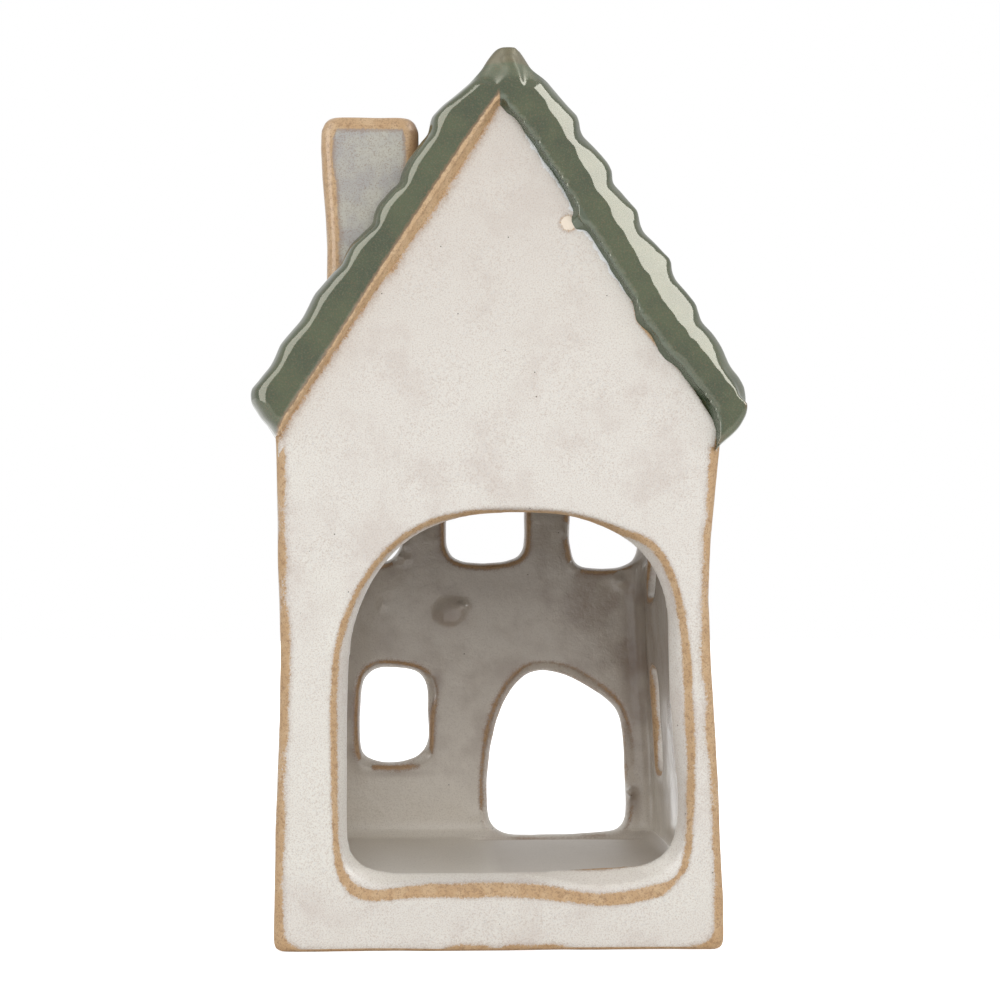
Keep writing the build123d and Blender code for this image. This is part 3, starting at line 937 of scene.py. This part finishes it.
def roof_colour(glaze):
    green = glaze.clouds(6, 3).step(0.3, 0.7).blend(leaf_green, deep_green)
    green = (0.45 * glaze.clouds(0.4, 2, 0.7).step(0.45, 0.75)).blend(green, lip_brown)
    green = (0.5 * glaze.clouds(0.3, 2, 0.8).step(0.52, 0.75)).blend(green, fleck_green)
    green = (0.4 * glaze.kept("thin").step(0.85, 1.0)).blend(green, lip_brown)
    green = (0.75 * glaze.kept("bead").step(0.2, 0.9)).blend(green, bead_green)
    edge = glaze.kept("edge") + 0.2 * (glaze.clouds(2.0, 3, 0.6) - 0.5)
    green = edge.step(0.35, 0.6).blend(green, lip_brown)
    bare = glaze.kept("bare") + 0.5 * (glaze.clouds(1.6, 4, 0.65) - 0.5)
    thin = (0.7 * bare.step(0.15, 0.5)).blend(green, burnt_clay_and_shade)
    return bare.step(0.45, 0.6).blend(thin, glaze.clay())


def roof_relief(glaze):
    return glaze.clouds(1.8, 2, 0.5)


def roof_roughness(glaze):
    bare, thin = glaze.kept("bare").step(0.45, 0.6), glaze.kept("thin").step(0.05, 0.6)
    return 0.10 + 0.5 * bare + 0.42 * thin


green_glaze = finish_of(
    "green_glaze", roof_colour, roof_roughness, roof_relief, 0.04,
    IOR=1.75, Specular_Tint=(1.0, 0.96, 0.84, 1))
keep_shading(roof)
roll_foot = 173.4
ridge = roof_apex[0]
top = (0, 0, 1)
for name, node, cuts in (
        ("left_roof", "left_roof_slab", [(right, ridge), (top, roll_foot)]),
        ("right_roof", "right_roof_slab", [(left, -ridge), (top, roll_foot)]),
        ("ridge_coil", "ridge_roll", [((0, 0, -1), -roll_foot)])):
    piece = part_of(roof, name, cuts)
    smooth_over(piece)
    hand_in(piece, green_glaze, "roof_glaze", node)
bpy.data.objects.remove(roof)


# Chimney: a short square tube, set through the left slab and luted in. The body's glaze lies
# thick and grey on it, and its mouth and corners are bare clay.
chimney_middle = (-26.0, -27.0)
flue_foot = 118.0
flue_corner = 1.6
flue_rings = (
    (6.1, 5.4, 166.2), (5.4, 4.7, 164.8), (5.2, 4.5, 161.0), (5.2, 4.5, flue_foot),
    (6.5, 6.0, flue_foot))
chimney_rings = (
    (8.6, 8.6, 128.0), (8.6, 8.8, 140.0), (8.9, 8.9, 147.0), (9.5, 9.0, 154.0), (9.9, 9.1, 160.0),
    (9.8, 9.1, 163.8), (9.1, 8.5, 165.6), (8.2, 7.7, 166.5), (7.2, 6.8, 166.6))
chimney_corner = 2.6
chimney_wear = 4.6
outer_to_height, outer_from_middle = 161.5, 6.6
mouth_bare_from = 163.8
# Painted shade: the chimney is painted dark from this far across to its right.
right_shade_from = -18.6
chimney_grain = 0.4
chimney_smoothing = 6


def square_ring(half_across, half_along, corner, height):
    """A square outline with rounded corners, at this height."""
    quarter = np.arange(9) / 8 * math.pi / 2
    ring = []
    for turn, (sx, sy) in enumerate(((1, 1), (-1, 1), (-1, -1), (1, -1))):
        angle = quarter + turn * math.pi / 2
        ring.append(np.column_stack([
            sx * (half_across - corner) + corner * np.cos(angle),
            sy * (half_along - corner) + corner * np.sin(angle)]))
    ring = np.vstack(ring) + chimney_middle
    return np.column_stack([ring, np.full(len(ring), height)])


rings = [square_ring(across, along, chimney_corner, height)
         for across, along, height in chimney_rings]
rings += [square_ring(across, along, flue_corner, height) for across, along, height in flue_rings]
chimney = skin("chimney_tube", rings, tube=True)
one_body(chimney, chimney_grain, chimney_smoothing)
uneven(chimney, 10, 0.4)
places = points_of(chimney)

# Bare where it stands proud and round the mouth, and at the corner on the right painted dark
# as painted shade.
off_middle = np.abs(places[:, 0] - chimney_middle[0])
outer = (places[:, 2] < outer_to_height) | (off_middle > outer_from_middle)
bare = proud_of(chimney, 40) * chimney_wear * outer
note(chimney, "bare", np.maximum(bare, 0.5 + (places[:, 2] - mouth_bare_from) * 0.4).clip(0, 1))
note(chimney, "right_shade", ((places[:, 0] - right_shade_from) / 1.8).clip(0, 1))

grey_glaze = (0.50, 0.485, 0.42, 1)
cool_glaze = (0.41, 0.395, 0.375, 1)


def chimney_colour(glaze):
    mottle = glaze.clouds(5, 3).step(0.35, 0.65)
    grey = mottle.blend(grey_glaze, cool_glaze)
    grey = (0.6 * glaze.clouds(0.3, 2, 0.8).step(0.45, 0.70)).blend(grey, inside_brown)
    bare = glaze.kept("bare") + 0.45 * (glaze.clouds(0.6, 4, 0.75) - 0.5)
    thin = (0.5 * bare.step(0.1, 0.5)).blend(grey, burnt_clay_and_shade)
    colour = bare.step(0.42, 0.62).blend(thin, glaze.clay())
    # Painted shade: the corner on the right is painted dark.
    return (0.8 * glaze.kept("right_shade")).blend(colour, burnt_clay_and_shade)


chimney_glaze = finish_of(
    "chimney_glaze", chimney_colour, lambda glaze: 0.16 + 0.2 * glaze.kept("bare").step(0.7, 1.0),
    body_relief, 0.08)
pick(chimney)
bpy.ops.object.shade_smooth()
hand_in(chimney, chimney_glaze, "chimney_glaze", "chimney")


# Studio: a pale table that looks as white as the backdrop, a tall lamp on either side that only
# the gloss shows, and a weak one above the camera that fills the inside.
table_size = 6
table_grey = (0.88, 0.88, 0.88, 1)
table_glow = 0.8
white = (1, 1, 1, 1)
sky_light = 0.80
lamp_aim = (0, 0, 0.09)

pick()
bpy.ops.mesh.primitive_plane_add(size=table_size)
table = bpy.context.object
table.name = "table"
table_paint = bpy.data.materials.new("table_paint")
table_paint.use_nodes = True
tree = table_paint.node_tree
start = Glaze(table_paint)
matt = start.node("ShaderNodeBsdfDiffuse", {}, {"Color": table_grey})
glow = start.node("ShaderNodeEmission", {}, {"Color": white, "Strength": table_glow})
shown = start.node("ShaderNodeAddShader", {}, {0: matt, 1: glow})
mixed = start.node("ShaderNodeMixShader", {}, {0: start.sight(), 1: matt, 2: shown})
tree.links.new(mixed.socket, tree.nodes["Material Output"].inputs["Surface"])
table.data.materials.append(table_paint)

world = bpy.context.scene.world or bpy.data.worlds.new("studio")
bpy.context.scene.world = world
world.use_nodes = True
sky = world.node_tree
sky.nodes.clear()
air = Glaze(world)
plain = air.node("ShaderNodeBackground", {}, {"Color": white, "Strength": sky_light})
backdrop = air.node("ShaderNodeBackground", {}, {"Color": white, "Strength": 1.0})
mixed = air.node("ShaderNodeMixShader", {}, {0: air.sight(), 1: plain, 2: backdrop})
out = sky.nodes.new("ShaderNodeOutputWorld")
sky.links.new(mixed.socket, out.inputs["Surface"])

for name, direction, size, radiance in (
        ("right_softbox", (0.775, -0.366, 0.622), (0.42, 0.9), 6.0),
        ("left_strip", (-0.74, -0.53, 0.42), (0.60, 1.2), 3.3),
        ("front_fill", (0.1, -1.0, 0.38), (0.8, 0.5), 2.05)):
    lamp_place = np.array(direction) / np.linalg.norm(direction) + lamp_aim
    pick()
    bpy.ops.object.light_add(type="AREA", location=tuple(lamp_place))
    lamp = bpy.context.object
    lamp.name = name
    lamp.data.shape = "RECTANGLE"
    lamp.data.size, lamp.data.size_y = size
    lamp.data.energy = radiance * math.pi * size[0] * size[1]
    lamp.rotation_euler = Vector(direction).to_track_quat("Z", "Y").to_euler()
    lamp.visible_diffuse = name == "front_fill"
    lamp.visible_glossy = name != "front_fill"
